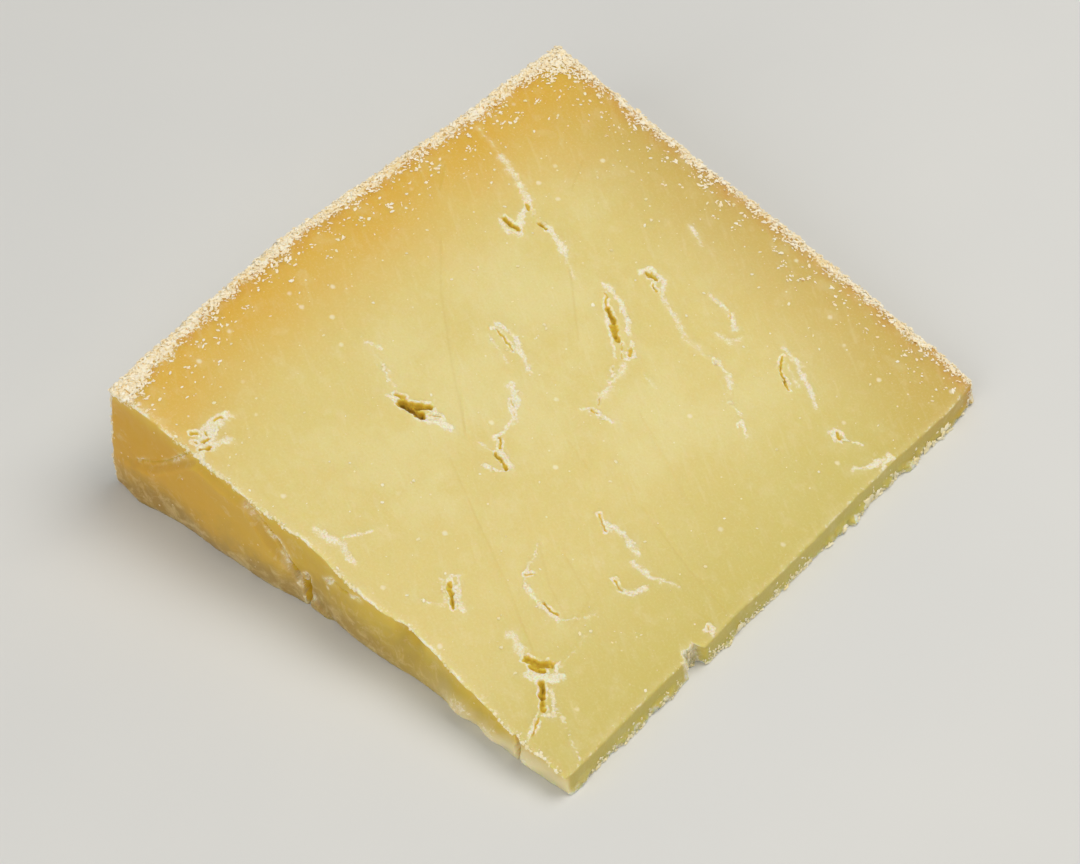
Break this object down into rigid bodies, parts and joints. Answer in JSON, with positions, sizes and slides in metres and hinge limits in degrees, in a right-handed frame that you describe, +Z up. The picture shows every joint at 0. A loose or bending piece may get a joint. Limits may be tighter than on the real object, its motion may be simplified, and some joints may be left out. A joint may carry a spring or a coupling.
{
  "type": "cheese wedge",
  "caption": "Wedge of hard clothbound cheddar lying on its cut face, tapering from a thick curved rind to a thin nose, with a bloomed rind on two sides and small openings in the paste.",
  "frame": {"origin": "under the middle of the piece, on the flat cut face that it rests on", "axes": "+Z up, away from the face it rests on; +X from the thick round rind to the thin nose; +Y from the broken side to the rind of the wheel's flat end, the longest side"},
  "size_m": [0.139, 0.1523, 0.0341],
  "materials": {
    "cheese_paste": "waxy pale gold paste, satin, with a cream powdery rind on the round side and the flat end"
  },
  "bodies": {
    "root": {"cheese_wedge": "cheese_paste"}
  },
  "joints": []
}
